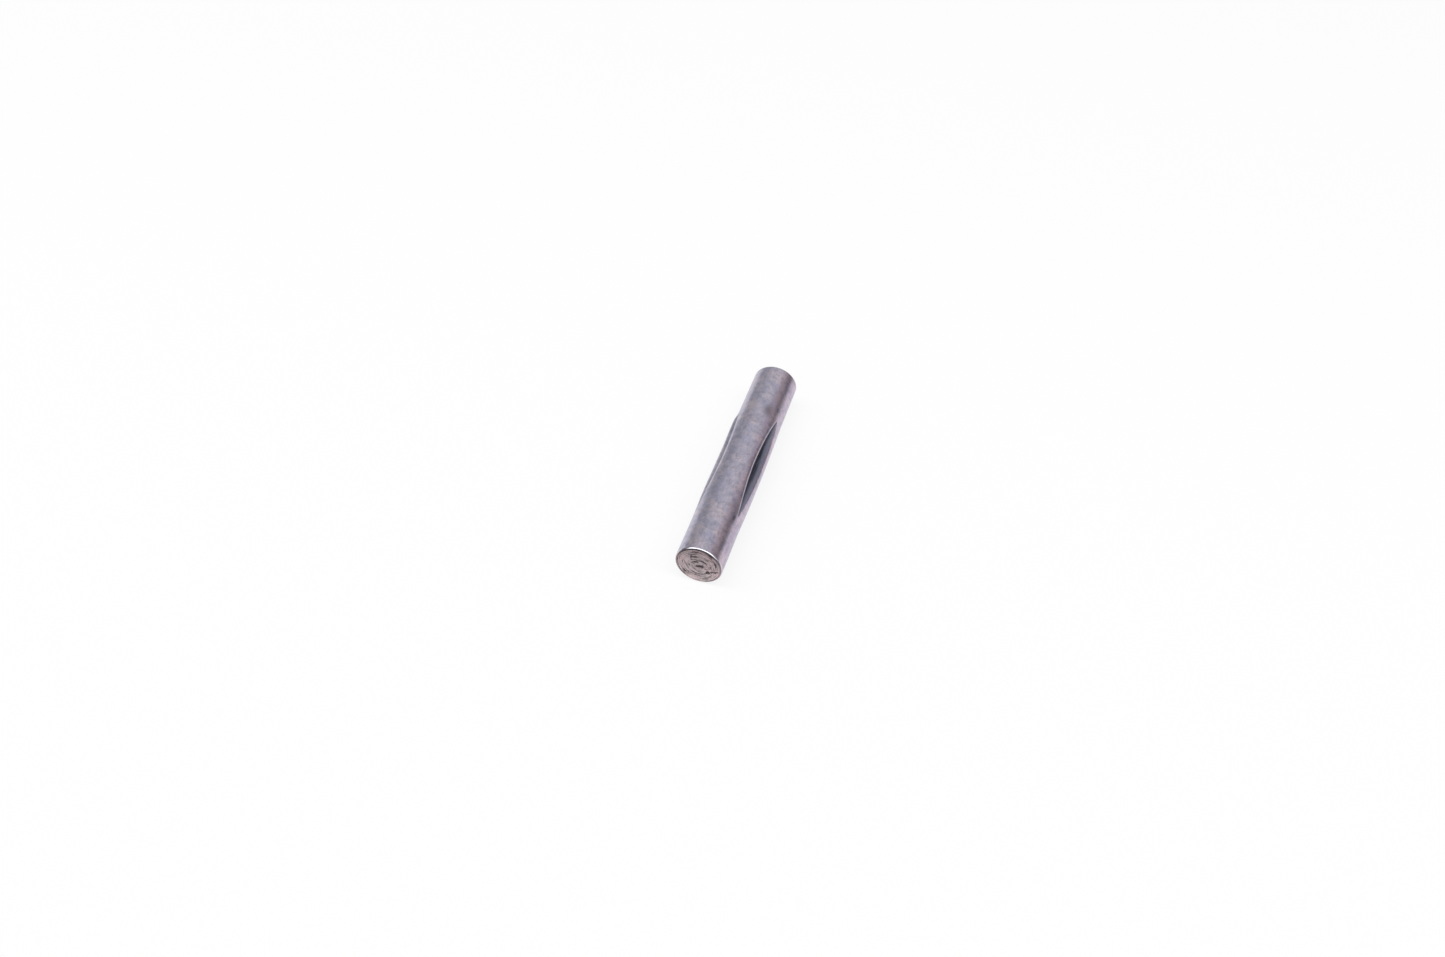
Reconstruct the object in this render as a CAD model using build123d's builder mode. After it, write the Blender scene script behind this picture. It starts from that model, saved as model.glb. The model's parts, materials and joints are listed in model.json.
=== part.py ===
from build123d import *

import os
from math import asin, cos, degrees, hypot, radians, sin, tan

# A centre-grooved pin: one length of round steel bar with three grooves rolled lengthwise into
# its middle. Each groove is deepest half-way along and runs out to nothing at both ends. The
# metal that the grooves displace swells the bar between them and stands up along their edges
# as lips, so the middle is a little thicker than the plain ends and grips a drilled hole.
# The pin lies along X, with its middle at the origin and one groove straight down, so that it
# rests on that groove's lips.

# Bar, in millimetres
pin_diameter = 5.0
pin_length = 28.2
edge_radius = 0.2

# Grooves, in millimetres and degrees. The depth is taken from the plain bar, half-way along the
# groove. The shift is how far the grooves' middle lies from the bar's, towards the -X end.
groove_count = 3
groove_length = 14.0
groove_depth = 0.42
groove_angle = 120.0
root_radius = 0.2
groove_shift = 0.5

# Swelling of the bar between the grooves, in millimetres: its height over the plain bar half-way
# along the grooves, and how far it reaches past each of their ends.
swell_height = 0.12
swell_run_out = 1.0

# Lips, in millimetres: the height of the crest over the plain bar, half-way along the groove and
# before its edge is rounded, the width round the bar from the crest to the lip's foot, and how
# far the lips reach past each end of their groove.
lip_height = 0.16
lip_width = 0.6
lip_run_out = 0.9
lip_edge_radius = 0.13

# How far the tool shapes reach past what they shape, in millimetres
overrun = 1.0

# Section through the middle of a groove. A reach is a distance from the pin's axis towards the
# groove, and the flanks would meet in a sharp vee a little below the rounded root.
pin_radius = pin_diameter / 2
land_radius = pin_radius + swell_height
crest_radius = pin_radius + lip_height
flank_angle = groove_angle / 2
flank_sine = sin(radians(flank_angle))
flank_slope = tan(radians(flank_angle))
root_reach = pin_radius - groove_depth
vee_reach = root_reach - root_radius * (1 / flank_sine - 1)

# The crest is where a flank meets the circle of the crests, by the sine rule in the triangle of
# the pin's axis, the sharp vee and the crest.
crest_angle = flank_angle - degrees(asin(vee_reach * flank_sine / crest_radius))
crest_reach = crest_radius * cos(radians(crest_angle))
crest_side = crest_radius * sin(radians(crest_angle))
foot_angle = crest_angle + degrees(lip_width / land_radius)
foot_reach = land_radius * cos(radians(foot_angle))

# A pair of lips is the crown of one thinner round bar, whose circle passes through both crests
# and both feet. It is bent along its length, so that its crown sinks into the pin at each end.
crown_centre = (crest_radius**2 - land_radius**2) / (2 * (crest_reach - foot_reach))
crown_radius = hypot(crest_side, crest_reach - crown_centre)
crown_rise = crown_centre + crown_radius - pin_radius
lip_half_length = groove_length / 2 + lip_run_out
crown_bend = (lip_half_length**2 + crown_rise**2) / (2 * crown_rise)
spine_radius = crown_bend - crown_radius
spine_half_angle = degrees(asin((lip_half_length + overrun) / spine_radius))

# The groove is the print of a wheel with a vee edge, rolled in to the groove's depth.
wheel_radius = ((groove_length / 2) ** 2 + groove_depth**2) / (2 * groove_depth)
axle_reach = root_reach + wheel_radius
vee_height = pin_radius + crown_rise + overrun - vee_reach
vee_tip = axle_reach + wheel_radius + root_reach - vee_reach
vee_base = vee_tip - vee_height

# Both tool shapes are drawn for a pin along Z with the groove on its +X side.
# Crown of one pair of lips
with BuildPart() as lip_crown:
    with BuildLine(Plane.XZ) as spine:
        spine_centre = (crown_centre - spine_radius, 0)
        CenterArc(spine_centre, spine_radius, -spine_half_angle, 2 * spine_half_angle)
    with BuildSketch(Plane(origin=spine.line @ 0, z_dir=spine.line % 0)):
        Circle(crown_radius)
    sweep()

# Rim of the grooving wheel, with its section drawn on the far side of the axle
with BuildPart() as wheel_rim:
    with BuildSketch() as vee:
        with BuildLine():
            Polyline(
                (vee_base, -vee_height * flank_slope),
                (vee_tip, 0),
                (vee_base, vee_height * flank_slope),
                close=True,
            )
        make_face()
        fillet(vee.vertices().sort_by(Axis.X)[-1], radius=root_radius)
    revolve(axis=Axis((axle_reach, 0, 0), (0, 1, 0)))

# Pin: half the bar's outline is turned about its axis, and the lips and grooves go round it.
# The plane that they are set out on has its own x straight up, so the first groove, half a turn
# from there, faces straight down.
pin_end = pin_length / 2
groove_middle = -groove_shift
swell_half_length = groove_length / 2 + swell_run_out
near_swell = (groove_middle - swell_half_length, pin_radius)
far_swell = (groove_middle + swell_half_length, pin_radius)
down_angle = 180
pin_section = Plane(origin=(groove_middle, 0, 0), x_dir=(0, 0, 1), z_dir=(1, 0, 0))
with BuildPart(pin_section) as groove_pin:
    with BuildSketch(Plane.XZ):
        with BuildLine():
            ThreePointArc(near_swell, (groove_middle, land_radius), far_swell)
            Polyline(
                far_swell,
                (pin_end, pin_radius),
                (pin_end, 0),
                (-pin_end, 0),
                (-pin_end, pin_radius),
                near_swell,
            )
        make_face()
    revolve(axis=Axis.X)
    fillet(groove_pin.faces().filter_by(GeomType.PLANE).edges(), radius=edge_radius)
    with PolarLocations(0, groove_count, start_angle=down_angle):
        add(lip_crown.part)
        add(wheel_rim.part, mode=Mode.SUBTRACT)
    flanks = groove_pin.faces().filter_by(GeomType.CONE)
    fillet(flanks.edges().filter_by(GeomType.BSPLINE), radius=lip_edge_radius)

groove_pin.part.label = "groove_pin"
os.makedirs("parts", exist_ok=True)
export_step(groove_pin.part, "parts/groove_pin.step")
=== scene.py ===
# %% [markdown]
# # A groove pin
# A groove pin is a short length of round steel bar that holds parts together without a thread.
# Three grooves are rolled lengthwise into its middle, and the steel that they push aside stands up
# along their edges. Driven into a plain drilled hole, those edges are squeezed back and hold tight.
# The CAD model already has the true sizes, so this lesson loads it first and keeps its box, which
# gives the pin's length and the floor's height.

# %% Load the imported pin
import functools
import json
import math

import bmesh
import bpy
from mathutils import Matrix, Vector, noise


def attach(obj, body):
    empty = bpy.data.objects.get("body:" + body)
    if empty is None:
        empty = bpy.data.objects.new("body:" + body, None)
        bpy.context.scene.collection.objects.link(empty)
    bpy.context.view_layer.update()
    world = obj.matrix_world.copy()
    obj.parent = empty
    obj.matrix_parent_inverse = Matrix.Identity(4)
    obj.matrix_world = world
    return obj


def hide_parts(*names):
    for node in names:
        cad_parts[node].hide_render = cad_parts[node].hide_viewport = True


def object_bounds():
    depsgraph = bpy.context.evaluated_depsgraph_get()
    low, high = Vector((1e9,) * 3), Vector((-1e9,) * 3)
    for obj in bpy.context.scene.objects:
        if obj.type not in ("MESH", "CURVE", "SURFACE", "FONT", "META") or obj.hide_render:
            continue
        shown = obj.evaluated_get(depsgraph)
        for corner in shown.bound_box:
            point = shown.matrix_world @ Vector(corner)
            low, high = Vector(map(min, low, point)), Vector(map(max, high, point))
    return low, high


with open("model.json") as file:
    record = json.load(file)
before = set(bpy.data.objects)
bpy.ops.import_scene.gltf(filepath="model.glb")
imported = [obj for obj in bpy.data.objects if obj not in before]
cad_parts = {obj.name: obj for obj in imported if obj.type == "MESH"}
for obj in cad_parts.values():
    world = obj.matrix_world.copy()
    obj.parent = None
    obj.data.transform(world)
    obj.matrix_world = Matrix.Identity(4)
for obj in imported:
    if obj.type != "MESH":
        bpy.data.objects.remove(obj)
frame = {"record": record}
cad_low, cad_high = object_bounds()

MM = 0.001
print("CAD box in mm:", [round(v / MM, 3) for v in (*cad_low, *cad_high)])

# %% [markdown]
# ## The camera
# The pin lies a little turned from the camera, which looks down on it at about 47 degrees. The
# place and lens come from fitting a simple pinhole camera to the pin's outline and to the ellipse
# of its near end, so the picture has the right perspective. The camera comes first, because every
# later choice is judged through it.

# %% Camera
CAMERA_PLACE = Vector((-84.8, -25.0, 94.4)) * MM
CAMERA_AIM = Vector((0.6451, 0.2050, -0.7361))
CAMERA_LENS, CAMERA_SENSOR = 29.9, 36
NEAREST_SEEN = 1 * MM

camera_data = bpy.data.cameras.new("camera")
camera_data.lens = CAMERA_LENS
camera_data.sensor_width = CAMERA_SENSOR
camera_data.clip_start = NEAREST_SEEN
camera = bpy.data.objects.new("camera", camera_data)
camera.location = CAMERA_PLACE
camera.rotation_euler = CAMERA_AIM.to_track_quat("-Z", "Y").to_euler()
bpy.context.scene.collection.objects.link(camera)
bpy.context.scene.camera = camera
bpy.context.scene.view_settings.view_transform = "Standard"
print("Camera distance in mm:", round(CAMERA_PLACE.length / MM, 1))

# %% [markdown]
# ## The bar
# The real pin starts as a piece of drawn round bar with a slightly rounded edge at each end. A
# cylinder primitive would have no rounded edges and no rows to shape the grooves with. Half of the
# bar's outline, drawn from the axis out and back to it, can be spun about the axis instead: every
# row and ring is then where the outline has a vertex.

# %% Half outline of the bar
mounts = {mount["name"]: mount for mount in frame["record"]["mounts"]}
PLAIN_RADIUS = mounts["near_plain_end"]["dims"]["r_mm"] * MM
HALF_LENGTH = (cad_high.x - cad_low.x) / 2
EDGE_ROUND = 0.2 * MM
FACE_RINGS, EDGE_STEPS, BAR_ROWS = 88, 8, 236

pin = bmesh.new()


def draw_on(end, along, up, steps):
    """Extrudes the outline from its last vertex along one straight run, in even steps."""
    for _ in range(steps):
        end = bmesh.ops.extrude_vert_indiv(pin, verts=[end])["verts"][0]
        bmesh.ops.translate(pin, verts=[end], vec=(along / steps, 0, up / steps))
    return end


def round_corner(end, centre_along, centre_up):
    """Spins the outline's last vertex through a quarter turn, which leaves a rounded corner."""
    made = bmesh.ops.spin(pin, geom=[end], cent=(centre_along, 0, centre_up), axis=(0, 1, 0),
                          angle=math.pi / 2, steps=EDGE_STEPS)
    return next(v for v in made["geom_last"] if isinstance(v, bmesh.types.BMVert))


flat_radius = PLAIN_RADIUS - EDGE_ROUND
bar_end = HALF_LENGTH - EDGE_ROUND
end = pin.verts.new((-HALF_LENGTH, 0, 0))
end = draw_on(end, 0, flat_radius, FACE_RINGS)
end = round_corner(end, -bar_end, flat_radius)
end = draw_on(end, 2 * bar_end, 0, BAR_ROWS)
end = round_corner(end, bar_end, flat_radius)
draw_on(end, 0, -flat_radius, FACE_RINGS)
print("Outline vertices:", len(pin.verts))

# %% Spin the outline into the bar
GROOVE_COUNT, HALF_SECTOR_COLUMNS = 3, 32
COLUMNS = 2 * GROOVE_COUNT * HALF_SECTOR_COLUMNS
SAME_PLACE = 1e-7

bmesh.ops.spin(pin, geom=pin.verts[:] + pin.edges[:], cent=(0, 0, 0), axis=(1, 0, 0),
               angle=2 * math.pi, steps=COLUMNS, use_merge=True)
bmesh.ops.remove_doubles(pin, verts=pin.verts[:], dist=SAME_PLACE)
bmesh.ops.recalc_face_normals(pin, faces=pin.faces[:])
print("Bar vertices and faces:", len(pin.verts), len(pin.faces))

# %% [markdown]
# ## The section of a groove
# A hardened wheel with a vee edge is rolled along the bar, so a groove is deepest half-way along
# and runs out at both ends, more slowly at the end where the wheel ran in. The pushed-out steel
# swells the bar a little and heaps up as two lips. In a section across the bar that is four simple
# curves: the swollen bar, the crown of the lips, the straight flank of the vee and its rounded
# root. The surface is the higher of the first two, cut by the other two. Where they meet, the crest
# is rounded, and on the bar's side it falls away in a soft shoulder. A Boolean could cut the
# grooves as well, but it would leave ragged triangles along the crests, which a shiny surface shows
# at once.

# %% Sizes of the section
GROOVE_MIDDLE = mounts["grooved_grip"]["pos_m"][0]
GROOVE_HALF = mounts["grooved_grip"]["dims"]["length_mm"] / 2 * MM
GROOVE_DEPTH, RUN_IN = 0.42 * MM, 0.35 * MM
LEAST_DEPTH_SHARE = 0.1
FLANK_ANGLE = math.radians(60)
ROOT_ROUND = 0.2 * MM
SHARP_VEE = ROOT_ROUND * (1 / math.sin(FLANK_ANGLE) - 1)
SWELL_HEIGHT, SWELL_HALF = 0.125 * MM, GROOVE_HALF + 1.0 * MM
LIP_HEIGHT, LIP_WIDTH, LIP_HALF = 0.165 * MM, 0.9 * MM, GROOVE_HALF + 0.9 * MM
CREST_ROUND, SHOULDER_SHARE = 0.3 * MM, 2.0
FOOT_BLEND = 0.02 * MM
print("Sharp vee under the root in mm:", round(SHARP_VEE / MM, 3))


# %% Curves of the section
def arc_height(half, rise, along):
    """Height of a shallow arc over its chord, at a distance along from its middle."""
    radius = (half**2 + rise**2) / (2 * rise)
    return math.sqrt(radius**2 - along**2) - radius + rise


def rounded_off(gap, reach, size):
    """How far a rounded corner lies off a sharp one, where its two curves are a gap apart."""
    return max(1 - abs(gap) / reach, 0)**2 * size / 4


def groove_depth(along):
    """Depth of the root under the plain bar. It grows slowly from the end of the wheel's run-in."""
    share = min(max(-along / GROOVE_HALF, 0), 1)
    return arc_height(GROOVE_HALF, GROOVE_DEPTH, along) - RUN_IN * share**2 * (1 - share)


def depth_share(along):
    """Depth of the groove as a share of its greatest depth, and never quite nothing."""
    return max(groove_depth(along) / GROOVE_DEPTH, LEAST_DEPTH_SHARE)


def cut_by(outer, vee, along):
    """The bar cut by the groove, with a rounded crest that has a shoulder on the bar's side."""
    size = CREST_ROUND * depth_share(along)
    reach = size * (SHOULDER_SHARE if vee > outer else 1)
    return min(outer, vee) - rounded_off(outer - vee, reach, size)


def crown_of_lips():
    """Radius of the circle through both crests and both feet, and the height of its top."""
    land, crest = PLAIN_RADIUS + SWELL_HEIGHT, PLAIN_RADIUS + LIP_HEIGHT
    vee = PLAIN_RADIUS - GROOVE_DEPTH - SHARP_VEE
    turn = FLANK_ANGLE - math.asin(vee * math.sin(FLANK_ANGLE) / crest)
    crest_reach, crest_side = crest * math.cos(turn), crest * math.sin(turn)
    foot_reach = land * math.cos(turn + LIP_WIDTH / land)
    centre = (crest**2 - land**2) / (2 * (crest_reach - foot_reach))
    radius = math.hypot(crest_side, crest_reach - centre)
    return radius, centre + radius - PLAIN_RADIUS


CROWN_RADIUS, CROWN_RISE = crown_of_lips()
print("Lip crown radius and rise in mm:", round(CROWN_RADIUS / MM, 3), round(CROWN_RISE / MM, 3))

# %% Radius of the surface at any place
WIDEST_CREST, NARROWEST_CREST = math.radians(24), math.radians(0.6)
HALVINGS = 40


def outer_radius(turn, along):
    """Swollen bar and lips, at an angle from the middle of the groove."""
    land = PLAIN_RADIUS + max(0, arc_height(SWELL_HALF, SWELL_HEIGHT, along))
    centre = PLAIN_RADIUS + arc_height(LIP_HALF, CROWN_RISE, along) - CROWN_RADIUS
    crown = centre * math.cos(turn) + math.sqrt(CROWN_RADIUS**2 - (centre * math.sin(turn))**2)
    return max(land, crown) + rounded_off(land - crown, FOOT_BLEND, FOOT_BLEND)


def vee_radius(turn, along):
    """Root and flank of the groove without the bar. Far past the crest it hardly matters."""
    turn = min(turn, 2 * WIDEST_CREST)
    root = PLAIN_RADIUS - groove_depth(along)
    centre = root + ROOT_ROUND
    tangent_side = ROOT_ROUND * math.cos(FLANK_ANGLE)
    tangent_reach = centre - ROOT_ROUND * math.sin(FLANK_ANGLE)
    if turn < math.atan2(tangent_side, tangent_reach):
        return centre * math.cos(turn) - math.sqrt(ROOT_ROUND**2 - (centre * math.sin(turn))**2)
    return (root - SHARP_VEE) * math.sin(FLANK_ANGLE) / math.sin(FLANK_ANGLE - turn)


@functools.lru_cache(maxsize=None)
def crest_turn(along):
    """Angle from the middle of the groove to its crest, found by halving."""
    low, high = 0, WIDEST_CREST
    for _ in range(HALVINGS):
        middle = (low + high) / 2
        if vee_radius(middle, along) < outer_radius(middle, along):
            low = middle
        else:
            high = middle
    return max(low, NARROWEST_CREST)


print("Half opening at mid-groove in degrees:", round(math.degrees(crest_turn(0)), 2))

# %% [markdown]
# ## Shaping the grooves
# A crest line only looks sharp if a line of mesh edges runs along it. So the columns of the spun
# bar are first slid round the bar: some share out the groove from its root to its crest, some keep
# a set distance beside the crest, and the rest share out the plain land. Then each vertex is moved
# in or out to the radius of the section. Past the grooves the columns go back to an even spacing.

# %% Slide the columns
GROOVE_SHARES = (0, 0.06, 0.12, 0.2, 0.32, 0.46, 0.6, 0.74, 0.86, 0.95, 1)
LIP_OFFSETS = tuple(offset * MM for offset in
                    (0, 0.03, 0.06, 0.1, 0.15, 0.22, 0.3, 0.4, 0.52, 0.66, 0.82))
SECTOR = 2 * math.pi / GROOVE_COUNT
EVEN_START, EVEN_END = 7.6 * MM, 11 * MM


def smooth_share(low, high, value):
    """0 below low, 1 above high, smooth between; the other way round if low is above high."""
    share = min(max((value - low) / (high - low), 0), 1)
    return share * share * (3 - 2 * share)


def slid_turn(column, along):
    """Angle from the middle of the groove for a column counted from there."""
    even = column * SECTOR / 2 / HALF_SECTOR_COLUMNS
    crest = crest_turn(along)
    in_groove, on_lip = len(GROOVE_SHARES) - 1, len(LIP_OFFSETS) - 1
    if column <= in_groove:
        turn = crest * GROOVE_SHARES[column]
    elif column <= in_groove + on_lip:
        turn = crest + LIP_OFFSETS[column - in_groove] / PLAIN_RADIUS
    else:
        foot = crest + LIP_OFFSETS[-1] / PLAIN_RADIUS
        share = (column - in_groove - on_lip) / (HALF_SECTOR_COLUMNS - in_groove - on_lip)
        turn = foot + (SECTOR / 2 - foot) * share
    return turn + (even - turn) * smooth_share(EVEN_START, EVEN_END, abs(along))


def place(vertex, turn, radius):
    """Puts a vertex at an angle from straight up, counted towards -Y, and at a radius."""
    vertex.co.y, vertex.co.z = -radius * math.sin(turn), radius * math.cos(turn)


print("Columns in a groove:", 2 * len(GROOVE_SHARES) - 1, "on its lips:", 2 * len(LIP_OFFSETS) - 2)

# %% [markdown]
# ## The heaped end of one lip
# Rolled steel isn't perfectly even. One lip ends in a small heap where the wheel ran out, which
# shows as a shoulder in the pin's outline, and the whole bar has a faint unevenness that makes its
# reflections waver. Both are small changes of the radius, so they go in with the section itself.

# %% Heaped steel and unevenness
UNEVEN_HEIGHT, UNEVEN_SIZE = 0.005 * MM, 1.6 * MM
HEAP_GROOVE, HEAP_SIDE = -1, -1
HEAP_HEIGHT, HEAP_WIDTH = 0.11 * MM, 0.5 * MM
HEAP_START, HEAP_TOP, HEAP_STOP = 2.5 * MM, 6.4 * MM, 7.3 * MM


def heap_height(groove, column, turn, along):
    """Steel heaped up at the far end of one lip, where the grooving wheel ran out."""
    if groove != HEAP_GROOVE or column * HEAP_SIDE <= 0:
        return 0
    off_crest = (turn - crest_turn(along)) * PLAIN_RADIUS / HEAP_WIDTH
    rise = smooth_share(HEAP_START, HEAP_TOP, along) - smooth_share(HEAP_TOP, HEAP_STOP, along)
    return HEAP_HEIGHT * math.exp(-(off_crest**2)) * rise


print("Height of the heap and its place from mid-groove in mm:",
      round(HEAP_HEIGHT / MM, 3), round(HEAP_TOP / MM, 3))

# %% [markdown]
# ## Setting the radius and marking the places
# The finish changes from place to place. The grooves have a dark film with painted shade in it:
# darkest where the vee cut deep and on the flanks that face down, and painted lighter on the flanks
# that face up. Their crests are rubbed bright and the end edges polished, and both carry a painted
# highlight; the parted faces are rough. A shader could guess those places from coordinates, but the
# lens shape of a groove is awkward to write in nodes. The mesh knows it already, so each vertex
# also gets a few numbers of its own, as attributes that the material reads later.

# %% Numbers for the finish
FILM_AND_SHADE_START, FILM_AND_SHADE_FULL, FILM_AND_SHADE_AT_ENDS = 0.04 * MM, 0.11 * MM, 0.6
CREST_SHINE = 0.05 * MM
RIM_REACH, PARTED_REACH = (0, 0.3), (0.72, 0.88)
# For two of the grooves, how much lighter the flanks that face up are painted, as a share of the
# film
# # and painted shade taken off them, at the root and at the crest
PAINTED_LIGHT_SHARES = {0: (0.2, 0.7), -1: (0.75, 1.0)}
PAINTED_LIGHT_TURNS, PAINTED_LIGHT_SLOPES = (0.15, 0.9), (0.3, 0.8)
MASK_NAMES = ("film_and_shade", "painted_light_share", "crest", "rim", "parted", "hollow")
masks = {name: pin.verts.layers.float.new(name) for name in MASK_NAMES}


def mark_places(vertex, groove, turn, along, cut):
    """Gives a vertex its numbers, by its groove, its place there and how deep the vee cut it."""
    crest, share = crest_turn(along), depth_share(along)
    # The groove's film and its painted shade grow with how deep the vee cut.
    film_and_shade = smooth_share(FILM_AND_SHADE_START, FILM_AND_SHADE_FULL, cut / share)
    vertex[masks["film_and_shade"]] = film_and_shade * (FILM_AND_SHADE_AT_ENDS + (1 - FILM_AND_SHADE_AT_ENDS) * share)
    least, most = PAINTED_LIGHT_SHARES.get(groove, (0, 0))
    vertex[masks["painted_light_share"]] = least + (most - least) * smooth_share(*PAINTED_LIGHT_TURNS, turn / crest)
    off_crest = (turn - crest) * PLAIN_RADIUS / CREST_SHINE
    vertex[masks["crest"]] = math.exp(-(off_crest**2)) * (abs(along) < GROOVE_HALF)
    over_end = (abs(vertex.co.x) - bar_end) / EDGE_ROUND
    vertex[masks["rim"]] = smooth_share(*RIM_REACH, over_end)
    vertex[masks["parted"]] = smooth_share(*PARTED_REACH, over_end)


print("Numbers kept for each vertex:", ", ".join(MASK_NAMES))

# %% Set the radius
NEARLY_NOTHING = 1e-6
FACE_EDGE = flat_radius - NEARLY_NOTHING
ALONG_DIGITS = 9

deepest = PLAIN_RADIUS
for vertex in pin.verts:
    radius = math.hypot(vertex.co.y, vertex.co.z)
    if radius < NEARLY_NOTHING:
        continue
    angle = math.atan2(-vertex.co.y, vertex.co.z) - SECTOR / 2
    groove = round(angle / SECTOR)
    column = round((angle - groove * SECTOR) / (SECTOR / 2) * HALF_SECTOR_COLUMNS)
    along = round(vertex.co.x - GROOVE_MIDDLE, ALONG_DIGITS)
    turn = slid_turn(abs(column), along)
    if radius > FACE_EDGE:
        outer = outer_radius(turn, along) + heap_height(groove, column, turn, along)
        vee = vee_radius(turn, along)
        uneven = UNEVEN_HEIGHT * (noise.noise(vertex.co / UNEVEN_SIZE) - 1)
        radius += cut_by(outer, vee, along) - PLAIN_RADIUS + uneven
        deepest = min(deepest, radius)
        mark_places(vertex, groove, turn, along, outer - vee)
    place(vertex, SECTOR / 2 + groove * SECTOR + math.copysign(turn, column), radius)
print("Deepest radius in mm:", round(deepest / MM, 3))

# %% Painted light: the flanks that face up lose some of the film and painted shade
pin.normal_update()
for vertex in pin.verts:
    facing_up = smooth_share(*PAINTED_LIGHT_SLOPES, vertex.normal.z)
    vertex[masks["film_and_shade"]] *= 1 - vertex[masks["painted_light_share"]] * facing_up
print("Share of the film wiped off at the root and crest, by groove:", PAINTED_LIGHT_SHARES)

# %% [markdown]
# ## The parted ends
# The bar was cropped to length and its ends left as they came: broken arcs round the middle, a torn
# spot where the last of the steel gave way, and a few scratches. At this size a bump texture would
# do from far off, but the marks are deep enough to throw light about, so the faces' rings are
# really moved in and out. The depth is kept as an attribute too, so that the material paints the
# low places darker. A cropped end is seldom square, so the near one also leans by two degrees.

# %% Marks on the end faces
# Each mark: middle as shares of the radius to the right and up, half sizes as shares of it, tilt in
# degrees, and depth in mm, which is below 0 where steel was pushed up
NEAR_MARKS = (
    (0.05, -0.02, 0.17, 0.06, 10, 0.075),
    (0.40, -0.31, 0.07, 0.05, 0, 0.14),
    (0.39, -0.42, 0.06, 0.03, 10, -0.05),
    (0.63, -0.21, 0.20, 0.028, 20, 0.055),
    (0.75, -0.29, 0.07, 0.03, 15, -0.04),
    (0.71, 0.24, 0.035, 0.09, 10, 0.06),
    (-0.66, 0.06, 0.03, 0.09, -10, 0.03),
    (-0.16, 0.78, 0.18, 0.03, 15, 0.045),
    (-0.30, 0.40, 0.03, 0.12, 0, 0.025),
    (0.18, 0.28, 0.14, 0.03, -25, 0.045),
    (-0.20, 0.16, 0.16, 0.03, 25, 0.045),
    (0.30, -0.12, 0.05, 0.05, 0, 0.03),
    (0.50, 0.72, 0.12, 0.04, -35, 0.05),
    (-0.60, -0.45, 0.12, 0.03, -45, 0.025),
)
FAR_MARKS = (
    (-0.08, 0.06, 0.14, 0.08, -20, 0.10),
    (0.46, 0.35, 0.20, 0.03, -40, 0.06),
    (-0.55, 0.20, 0.04, 0.14, 10, 0.07),
    (0.15, -0.62, 0.22, 0.03, 8, 0.06),
    (0.70, -0.20, 0.03, 0.10, -12, 0.06),
    (-0.35, -0.50, 0.10, 0.04, 35, 0.05),
)


def mark_depth(right, up, marks):
    """Depth of the torn and scraped marks at a place on an end face."""
    depth = 0
    for mark_right, mark_up, long, wide, tilt, deep in marks:
        lean = math.radians(tilt)
        across, over = right - mark_right, up - mark_up
        along_mark = (across * math.cos(lean) + over * math.sin(lean)) / long
        over_mark = (over * math.cos(lean) - across * math.sin(lean)) / wide
        depth += deep * MM * math.exp(-(along_mark**4) - over_mark**2)
    return depth


print("Marks on the near and far face:", len(NEAR_MARKS), len(FAR_MARKS))

# %% Sizes of the lines, arcs and tearing
# The numbers per mm are how fast a noise changes, and those apart give each face its own noise.
LINE_PITCH, LINE_TURNS, LINE_SHARE, LINE_DEPTH = 0.18 * MM, 0.9, 0.26, 0.024 * MM
ARC_WIDTH, ARC_TURNS, ARC_DEPTH = 0.1 * MM, 1.5, 0.033 * MM
TORN_SIZE, TORN_DEPTH = 0.12 * MM, 0.018 * MM
WANDER, WANDER_PER_MM = 0.12 * MM, 0.8
BROKEN_LEAST, BROKEN_STEP, BROKEN_PER_MM = 0.6, (-0.3, 0.3), 1.3
BROKEN_START = Vector((7, 3, 1))
RAGGED, RAGGED_PER_MM, RAGGED_SEED = 0.05, 3.5, 5
FACES_APART, LINES_APART, ARCS_APART = 5, 20, 40
CORE = 0.6 * MM
EDGE_WIDTH, LEAST_EDGE_DIRT_AND_SHADE = 0.16 * MM, 0.6
FULL_HOLLOW = 0.046 * MM

noise.seed_set(RAGGED_SEED)
print("Lines, arcs and tearing, deepest in mm:",
      [round(depth / MM, 3) for depth in (LINE_DEPTH, ARC_DEPTH, TORN_DEPTH)])


# %% Depth of a parted face
def round_noise(radius, angle, width, turns, start):
    """Noise from -1 to 1, drawn out round the middle of the face."""
    return noise.noise(Vector((radius / width + start,
                               turns * math.cos(angle), turns * math.sin(angle))))


def face_depth(right, up, face):
    """How far a parted face lies under a flat one, at a place on it: lines, tearing and marks."""
    spot = Vector((FACES_APART * face, right / MM, up / MM))
    radius, angle = math.hypot(right, up), math.atan2(up, right)
    swirl = radius + WANDER * noise.noise(spot * WANDER_PER_MM)
    off_line = abs(round_noise(swirl, angle, LINE_PITCH, LINE_TURNS, LINES_APART * face))
    line = smooth_share(LINE_SHARE, 0, off_line)
    arc = max(0, round_noise(swirl, angle, ARC_WIDTH, ARC_TURNS, ARCS_APART * face))
    whole = smooth_share(*BROKEN_STEP, noise.noise(spot * BROKEN_PER_MM + BROKEN_START))
    broken = BROKEN_LEAST + (1 - BROKEN_LEAST) * whole
    depth = (LINE_DEPTH * line + ARC_DEPTH * arc) * broken * smooth_share(0, CORE, radius)
    depth += TORN_DEPTH * (1 + noise.noise(spot * (MM / TORN_SIZE))) / 2
    ragged = RAGGED * noise.noise_vector(spot * RAGGED_PER_MM)
    depth += mark_depth(right / PLAIN_RADIUS + ragged.y, up / PLAIN_RADIUS + ragged.z,
                        NEAR_MARKS if face < 0 else FAR_MARKS)
    return max(depth, 0) * smooth_share(0, EDGE_WIDTH / 2, flat_radius + EDGE_WIDTH / 2 - radius)


print("Depth in mm at the middle of the near face:", round(face_depth(0, 0, -1) / MM, 3))

# %% Move the faces' rings
FACE_REACH = EDGE_ROUND / 2

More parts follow.
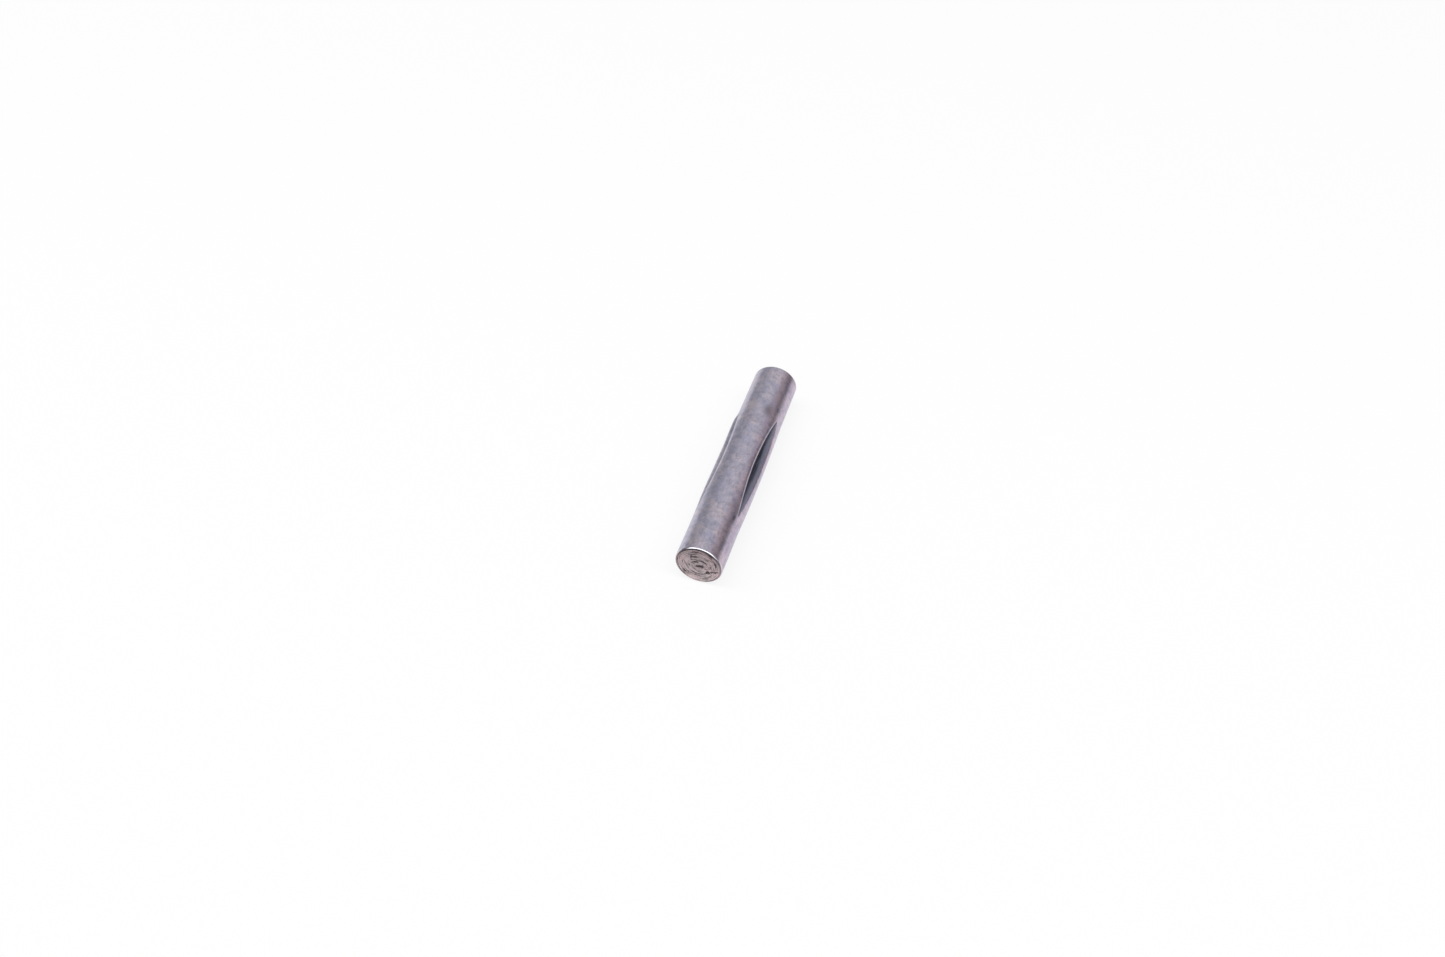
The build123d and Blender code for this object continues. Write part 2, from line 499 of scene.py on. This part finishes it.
lowest = 0
for vertex in pin.verts:
    face = math.copysign(1, vertex.co.x)
    if HALF_LENGTH - abs(vertex.co.x) > FACE_REACH:
        continue
    depth = face_depth(face * vertex.co.y, vertex.co.z, face)
    vertex.co.x -= face * depth
    radius = math.hypot(vertex.co.y, vertex.co.z)
    if radius < FACE_EDGE:
        vertex[masks["parted"]] = 1
    # A dark ring round the edge of each face: real dirt on the torn edge all round, made darker
    # towards the top as a painted dark reflection.
    edge_dirt_and_shade = smooth_share(flat_radius - EDGE_WIDTH, flat_radius, radius)
    on_top = smooth_share(0, 1, vertex.co.z / flat_radius)
    edge_dirt_and_shade *= LEAST_EDGE_DIRT_AND_SHADE + (1 - LEAST_EDGE_DIRT_AND_SHADE) * on_top
    vertex[masks["hollow"]] = min(max(depth / FULL_HOLLOW, edge_dirt_and_shade), 1)
    lowest = max(lowest, depth)
bmesh.ops.recalc_face_normals(pin, faces=pin.faces[:])
print("Deepest mark in mm:", round(lowest / MM, 3))

# %% Lean of the near end
LEAN, LONGER, LEAN_REACH = math.radians(2), 0.02 * MM, 2 * MM

for vertex in pin.verts:
    near = smooth_share(LEAN_REACH, 0, vertex.co.x + HALF_LENGTH)
    vertex.co.x += near * (math.tan(LEAN) * vertex.co.z - LONGER)
print("Lean of the near end in degrees:", round(math.degrees(LEAN), 1))

# %% [markdown]
# ## One piece
# The pin is a single piece of steel, so all of this is one object. It stands for the CAD pin in the
# pictures, while the CAD pin itself stays as it is for collisions.

# %% Pin body
pin_mesh = bpy.data.meshes.new("groove_pin_body")
pin.to_mesh(pin_mesh)
pin.free()
pin_mesh.shade_smooth()
pin_body = bpy.data.objects.new("groove_pin_body", pin_mesh)
bpy.context.scene.collection.objects.link(pin_body)
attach(pin_body, "root")
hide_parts("groove_pin")
print("Pin vertices and faces:", len(pin_mesh.vertices), len(pin_mesh.polygons))

# %% [markdown]
# ## Shader sums
# A finish is a sum of simple patterns, and sums are easier to read as Python than as a web of
# nodes. This small class wraps one output of a node, so that adding two of them, or one and a
# number, adds the Math node that does it. Any other node comes from its one method for nodes.

# %% Shader sums in Python
NOISE_ROUGHNESS = 0.6


class Wire:
    """One socket of a node tree, which can be used in Python sums."""

    def __init__(self, tree, socket=None):
        self.tree, self.socket = tree, socket

    def node(self, kind, settings=None, values=None, out=0):
        """Adds any node: its settings first, then the values or links of its sockets."""
        made = self.tree.nodes.new(kind)
        for name, value in (settings or {}).items():
            setattr(made, name, value)
        for name, value in (values or {}).items():
            if isinstance(value, Wire):
                self.tree.links.new(value.socket, made.inputs[name])
            else:
                made.inputs[name].default_value = value
        return Wire(self.tree, made.outputs[out])

    def sum(self, operation, *terms):
        """A Math node on numbers."""
        return self.node("ShaderNodeMath", {"operation": operation}, dict(enumerate(terms)))

    def __add__(self, other):
        return self.sum("ADD", self, other)

    def __sub__(self, other):
        return self.sum("SUBTRACT", self, other)

    def __rsub__(self, other):
        return self.sum("SUBTRACT", other, self)

    def __mul__(self, other):
        return self.sum("MULTIPLY", self, other)

    __radd__, __rmul__ = __add__, __mul__

    def vector(self, operation, *terms, out=0):
        """A Vector Math node."""
        return self.node("ShaderNodeVectorMath", {"operation": operation},
                         dict(enumerate(terms)), out)

    def step(self, low, high):
        """0 below low, 1 above high, smooth between; the other way round if low is above high."""
        return self.node("ShaderNodeMapRange", {"interpolation_type": "SMOOTHSTEP"},
                         {"Value": self, "From Min": low, "From Max": high})

    def mix(self, first, second):
        """A colour between two, by this value. A Mix node's colours are its sockets 6 and 7."""
        return self.node("ShaderNodeMix", {"data_type": "RGBA"}, {0: self, 6: first, 7: second}, 2)

    def part(self, axis):
        """X, Y or Z of a vector."""
        return self.node("ShaderNodeSeparateXYZ", None, {0: self}, axis)

    def noise(self, where, scale, detail):
        """A noise pattern."""
        return self.node("ShaderNodeTexNoise", None,
                         {"Vector": where, "Scale": scale, "Detail": detail,
                          "Roughness": NOISE_ROUGHNESS})

    def mask(self, name):
        """One of the numbers that the mesh keeps for each vertex."""
        return self.node("ShaderNodeAttribute", {"attribute_name": name}, None, "Fac")

    def show(self, shader, kind="ShaderNodeOutputMaterial"):
        """Links a shader to the output."""
        self.tree.links.new(shader.socket, self.tree.nodes.new(kind).inputs["Surface"])


def new_material(name):
    """A material with no nodes yet, and a first wire in it."""
    material = bpy.data.materials.new(name)
    material.use_nodes = True
    material.node_tree.nodes.clear()
    return material, Wire(material.node_tree)


print("Sums that a wire can do:", "+ - *")

# %% [markdown]
# ## The steel
# Plain drawn steel isn't one grey. It is mottled in cool and warm patches about a millimetre
# across, speckled, and faintly streaked along its length by the drawing die, and a few soft stains
# have stayed on it. All of those are noise patterns on Object coordinates at different scales. The
# rolled grooves keep a dark film with painted shade in it, while their crests and the end edges are
# rubbed bright and carry a painted highlight.

# %% Patterns on the barrel
# Each pattern: its scale per metre and its detail
PATCHES, SPECKLE, STREAKS = (650, 4), (1700, 6), (4200, 2)
MOTTLE, GRAIN = (5200, 4), (7000, 3)
DRAWN_OUT = (0.12, 1, 1)

steel, wire = new_material("pin_steel")
spot = wire.node("ShaderNodeTexCoord", out="Object")
patches = wire.noise(spot, *PATCHES)
speckle = wire.noise(spot, *SPECKLE)
streaks = wire.noise(wire.vector("MULTIPLY", spot, DRAWN_OUT), *STREAKS)
mottle = wire.noise(spot, *MOTTLE)
grain = wire.noise(spot, *GRAIN)
print("Nodes for the patterns:", len(wire.tree.nodes))

# %% Stains
# Each stain: its strength, place along in mm and round in degrees, half length and width in mm
STAINS = ((0.75, 7.2, 24, 1.2, 0.75), (0.8, -8.3, 51, 0.5, 0.26))
STAIN_RAGGED, STAIN_FADE = 0.9, (1.6, 0.5)


def stain(strength, along, turn, long, wide):
    """A soft dark spot on the barrel, with a ragged edge."""
    turn = math.radians(turn)
    middle = Vector((along * MM, -PLAIN_RADIUS * math.sin(turn), PLAIN_RADIUS * math.cos(turn)))
    off = wire.vector("SUBTRACT", spot, middle)
    off = wire.vector("DIVIDE", off, (long * MM, wide * MM, wide * MM))
    off = wire.vector("LENGTH", off, out="Value")
    return strength * (off + STAIN_RAGGED * speckle).step(*STAIN_FADE)


far_stain, near_stain = (stain(*numbers) for numbers in STAINS)
print("Stains:", len(STAINS))

# %% Colour of the barrel
STEEL_COOL, STEEL_WARM = (0.455, 0.455, 0.60, 1), (0.66, 0.58, 0.635, 1)
STEEL_DULL, STEEL_STAINED = (0.28, 0.275, 0.355, 1), (0.17, 0.165, 0.21, 1)
PATCH_SHARE, WARM_STEP = 0.65, (0.34, 0.66)
SPECKLE_SHARE, SPECKLE_STEP = 0.5, (0.38, 0.68)
STREAK_SHARE, STREAK_STEP = 0.2, (0.45, 0.8)
GRAIN_SHARE, GRAIN_STEP = 0.25, (0.38, 0.7)

warm = (PATCH_SHARE * patches + (1 - PATCH_SHARE) * mottle).step(*WARM_STEP)
dull = (SPECKLE_SHARE * speckle.step(*SPECKLE_STEP) + STREAK_SHARE * streaks.step(*STREAK_STEP)
        + GRAIN_SHARE * grain.step(*GRAIN_STEP))
colour = warm.mix(STEEL_COOL, STEEL_WARM)
colour = dull.mix(colour, STEEL_DULL)
colour = (far_stain + near_stain).mix(colour, STEEL_STAINED)
print("Nodes for the barrel:", len(wire.tree.nodes))

# %% Grooves with painted shade, and rubbed edges with a painted highlight
FLANK_BLUE, FLANK_DARK = (0.23, 0.265, 0.36, 1), (0.03, 0.033, 0.05, 1)
STEEL_RUBBED_HIGHLIGHT = (0.70, 0.69, 0.74, 1)
FILM_AND_SHADE_LEAST, FILM_AND_SHADE_STREAKS = 0.72, 0.56
THIN_FILM_AND_SHADE, THICK_FILM_AND_SHADE, FLANK_STEP = (0.0, 0.5), (0.45, 0.95), (0.3, 0.9)
CREST_RUBBED_HIGHLIGHT, RIM_RUBBED_HIGHLIGHT = 0.4, 0.8

# The grooves' real dark film, deepened into painted shade: near black where the vee cut deep and on
# the flanks that face down.
film_and_shade = wire.mask("film_and_shade") * (FILM_AND_SHADE_LEAST + FILM_AND_SHADE_STREAKS * streaks)
rim = wire.mask("rim")
flank = speckle.step(*FLANK_STEP).mix(FLANK_BLUE, STEEL_DULL)
colour = film_and_shade.step(*THIN_FILM_AND_SHADE).mix(colour, flank)
colour = film_and_shade.step(*THICK_FILM_AND_SHADE).mix(colour, FLANK_DARK)
# Painted highlight: the crests and the end edges are partly rubbed bright and partly painted
# lighter as a highlight.
colour = (CREST_RUBBED_HIGHLIGHT * wire.mask("crest") + RIM_RUBBED_HIGHLIGHT * rim).mix(colour, STEEL_RUBBED_HIGHLIGHT)
print("Nodes with the grooves:", len(wire.tree.nodes))

# %% Parted ends
PARTED_PINK, PARTED_GREY = (0.735, 0.595, 0.61, 1), (0.657, 0.57, 0.585, 1)
PARTED_DIRT_AND_SHADE = (0.10, 0.078, 0.083, 1)
GREY_STEP = (0.36, 0.64)
HOLLOW_DARKENING, HOLLOW_STEP = 0.88, (0.12, 1.0)
SPREAD_DIRT, SPREAD_STEP = 0.2, (0.6, 0.35)

parted = wire.mask("parted")
# The faces are darker in their low places and in the ring round their edge, which is painted shade
# where it darkens towards the top; the mottle adds real dirt.
dirt_and_shade = (HOLLOW_DARKENING * wire.mask("hollow").step(*HOLLOW_STEP)
        + SPREAD_DIRT * mottle.step(*SPREAD_STEP))
bare = patches.step(*GREY_STEP).mix(PARTED_PINK, PARTED_GREY)
colour = parted.mix(colour, dirt_and_shade.mix(bare, PARTED_DIRT_AND_SHADE))
print("Nodes with the parted ends:", len(wire.tree.nodes))

# %% Steel shader
PLAIN_ROUGH, PATCH_ROUGH, FILM_ROUGH, PARTED_ROUGH = 0.25, 0.1, 0.2, 0.2
RIM_POLISH = 0.14
BUMP_DEPTH, STREAK_BUMP, PARTED_BUMP = 0.002 * MM, 0.5, 4.0

rough = PLAIN_ROUGH + PATCH_ROUGH * patches + FILM_ROUGH * film_and_shade + PARTED_ROUGH * parted
height = grain + STREAK_BUMP * streaks + PARTED_BUMP * parted * mottle
bump = wire.node("ShaderNodeBump", None,
                 {"Strength": 1.0, "Distance": BUMP_DEPTH, "Height": height})
wire.show(wire.node("ShaderNodeBsdfPrincipled", None, {
    "Base Color": colour,
    "Metallic": 1.0,
    "Roughness": rough - RIM_POLISH * rim,
    "Normal": bump,
}))
pin_mesh.materials.append(steel)
print("Nodes for the steel:", len(wire.tree.nodes))

# %% [markdown]
# ## The floor
# The pin lies on white paper that runs out of the picture. Seen straight on, white paper has to
# come out white without more lamp light on the pin, so the part of it that is looked at glows a
# little, and the rest is plain matt paper that takes the shadow. In the metal, the paper is only
# bright near the pin: further out it goes grey, as a real sheet does where the lamps don't reach.

# %% Floor
FLOOR_RADIUS, FLOOR_SEGMENTS = 1.0, 64

sheet = bmesh.new()
bmesh.ops.create_circle(sheet, cap_ends=True, segments=FLOOR_SEGMENTS, radius=FLOOR_RADIUS)
bmesh.ops.translate(sheet, verts=sheet.verts[:], vec=(0, 0, cad_low.z))
floor_mesh = bpy.data.meshes.new("floor")
sheet.to_mesh(floor_mesh)
sheet.free()
floor = bpy.data.objects.new("floor", floor_mesh)
bpy.context.scene.collection.objects.link(floor)
print("Floor at z in mm:", round(cad_low.z / MM, 3))

# %% Paper
WHITE = (1, 1, 1, 1)
PAPER_MATT, PAPER_GLOW = (0.95, 0.95, 0.95, 1), 0.82
PAPER_WARM, WARM_FADE = (1, 0.905, 0.945, 1), (0, -0.006)
PAPER_GREY = (0.27, 0.245, 0.27, 1)
SIDE_WAY, SIDE_FADE = (0.65, -0.76, 0), (0.015, 0.06)
FRONT_WAY, FRONT_FADE = (-1, 0, 0), (0.0143, 0.0205)


def rays_that_look(wire):
    """1 for rays from the camera, shiny surfaces and clear ones; and 1 for shiny surfaces alone."""
    kinds = [wire.node("ShaderNodeLightPath", out=name)
             for name in ("Is Camera Ray", "Is Glossy Ray", "Is Transmission Ray")]
    return wire.sum("MAXIMUM", kinds[0], wire.sum("MAXIMUM", kinds[1], kinds[2])), kinds[1]


paper, wire = new_material("white_paper")
seen, in_metal = rays_that_look(wire)
spot = wire.node("ShaderNodeTexCoord", out="Object")
side, front = (wire.vector("DOT_PRODUCT", spot, way, out="Value").step(*fade)
               for way, fade in ((SIDE_WAY, SIDE_FADE), (FRONT_WAY, FRONT_FADE)))
tone = (in_metal * spot.part("Y").step(*WARM_FADE)).mix(WHITE, PAPER_WARM)
tone = (in_metal * wire.sum("MAXIMUM", side, front)).mix(tone, PAPER_GREY)
matt = wire.node("ShaderNodeBsdfDiffuse", None, {"Color": PAPER_MATT})
glow = wire.node("ShaderNodeEmission", None, {"Color": tone, "Strength": 1.0})
wire.show(wire.node("ShaderNodeMixShader", None, {0: seen * PAPER_GLOW, 1: matt, 2: glow}))
floor_mesh.materials.append(paper)
print("Nodes for the paper:", len(wire.tree.nodes))

# %% [markdown]
# ## The light
# Polished steel looks like whatever stands round it, so most of the work is in the studio. The
# world is white. A round light tent, which only shiny surfaces can see, gives the steel soft bright
# and dark places: a bright one over the pin, dark ones low on the right and left and behind the
# camera, and a long strip light above, which draws the white line along the near edge. A softbox
# adds the faint shadow on the paper.

# %% World
WORLD_LIGHT = (0.5, 0.5, 0.5, 1)

world = bpy.data.worlds.new("studio")
bpy.context.scene.world = world
world.use_nodes = True
world.node_tree.nodes.clear()
wire = Wire(world.node_tree)
seen, _ = rays_that_look(wire)
sky = wire.node("ShaderNodeBackground", None,
                {"Color": seen.mix(WORLD_LIGHT, WHITE), "Strength": 1.0})
wire.show(sky, "ShaderNodeOutputWorld")
print("World nodes:", len(wire.tree.nodes))

# %% Light tent
TENT_RADIUS, TENT_SEGMENTS, TENT_RINGS = 0.95, 48, 24

cloth = bmesh.new()
bmesh.ops.create_uvsphere(cloth, u_segments=TENT_SEGMENTS, v_segments=TENT_RINGS,
                          radius=TENT_RADIUS)
bmesh.ops.bisect_plane(cloth, geom=cloth.verts[:] + cloth.edges[:] + cloth.faces[:],
                       plane_co=(0, 0, cad_low.z), plane_no=(0, 0, 1), clear_inner=True)
tent_mesh = bpy.data.meshes.new("light_tent")
cloth.to_mesh(tent_mesh)
cloth.free()
tent = bpy.data.objects.new("light_tent", tent_mesh)
bpy.context.scene.collection.objects.link(tent)
for ray in ("camera", "diffuse", "transmission", "volume_scatter", "shadow"):
    setattr(tent, "visible_" + ray, False)
print("Tent faces:", len(tent_mesh.polygons))

# %% Bright and dark places on the tent
# Each place: its direction, and the cosines from there between which it fades in
BRIGHT = ((0.62, -0.18, 0.765), 0.63, 0.99)
RIGHT_DARK = ((0.64, -0.76, 0.2), 0.75, 0.97)
HORIZON_DARK = ((0.64, -0.77, -0.02), 0.93, 0.99)
BEHIND_DARK = ((-0.92, 0.15, 0.2), 0.65, 0.9)
LEFT_DARK = ((-0.35, 0.9, 0.15), 0.75, 0.95)
STRIP_ENDS, STRIP_NEAR_EDGE, STRIP_FAR_EDGE = (0.85, 0.7), (0.02, -0.12), (-0.72, -0.6)

glowing_cloth, wire = new_material("tent_cloth")
towards = wire.vector("NORMALIZE", wire.node("ShaderNodeTexCoord", out="Object"))


def round_place(direction, low, high):
    """1 round a direction, falling smoothly to 0 between two cosines from it."""
    middle = Vector(direction).normalized()
    return wire.vector("DOT_PRODUCT", towards, middle, out="Value").step(low, high)


bright, right_dark, horizon_dark, behind_dark, left_dark = (
    round_place(*numbers) for numbers in (BRIGHT, RIGHT_DARK, HORIZON_DARK, BEHIND_DARK, LEFT_DARK))
length, width = wire.sum("ABSOLUTE", towards.part("Y")), towards.part("X")
strip = length.step(*STRIP_ENDS) * width.step(*STRIP_NEAR_EDGE) * width.step(*STRIP_FAR_EDGE)
print("Nodes for the places:", len(wire.tree.nodes))

# %% Glow of the tent
CLOTH_GLOW, BRIGHT_GLOW, STRIP_GLOW = 0.5, 0.28, 2.2
RIGHT_LOSS, HORIZON_LOSS, BEHIND_LOSS, LEFT_SHARE = 0.12, 0.2, 0.46, 0.8
CLOTH_WARM, WARM_SHARE = (1.0, 0.81, 0.80, 1), 0.85

strength = (CLOTH_GLOW + BRIGHT_GLOW * bright + STRIP_GLOW * strip
            - RIGHT_LOSS * right_dark - HORIZON_LOSS * horizon_dark
            - BEHIND_LOSS * wire.sum("MAXIMUM", behind_dark, LEFT_SHARE * left_dark))
tint = (WARM_SHARE * right_dark).mix(WHITE, CLOTH_WARM)
glow = wire.node("ShaderNodeVectorMath", {"operation": "SCALE"}, {0: tint, "Scale": strength})
wire.show(wire.node("ShaderNodeEmission", None, {"Color": glow, "Strength": 1.0}))
tent_mesh.materials.append(glowing_cloth)
print("Tent nodes:", len(wire.tree.nodes))

# %% Softbox
SOFTBOX_PLACE, SOFTBOX_SIZE, SOFTBOX_WATTS = (-0.05, 0, 0.45), (0.16, 1.3), 2.2

lamp_data = bpy.data.lights.new("softbox", "AREA")
lamp_data.shape = "RECTANGLE"
lamp_data.size, lamp_data.size_y = SOFTBOX_SIZE
lamp_data.energy = SOFTBOX_WATTS
lamp = bpy.data.objects.new("softbox", lamp_data)
lamp.location = SOFTBOX_PLACE
lamp.visible_glossy = False
bpy.context.scene.collection.objects.link(lamp)
print("Softbox watts:", SOFTBOX_WATTS)
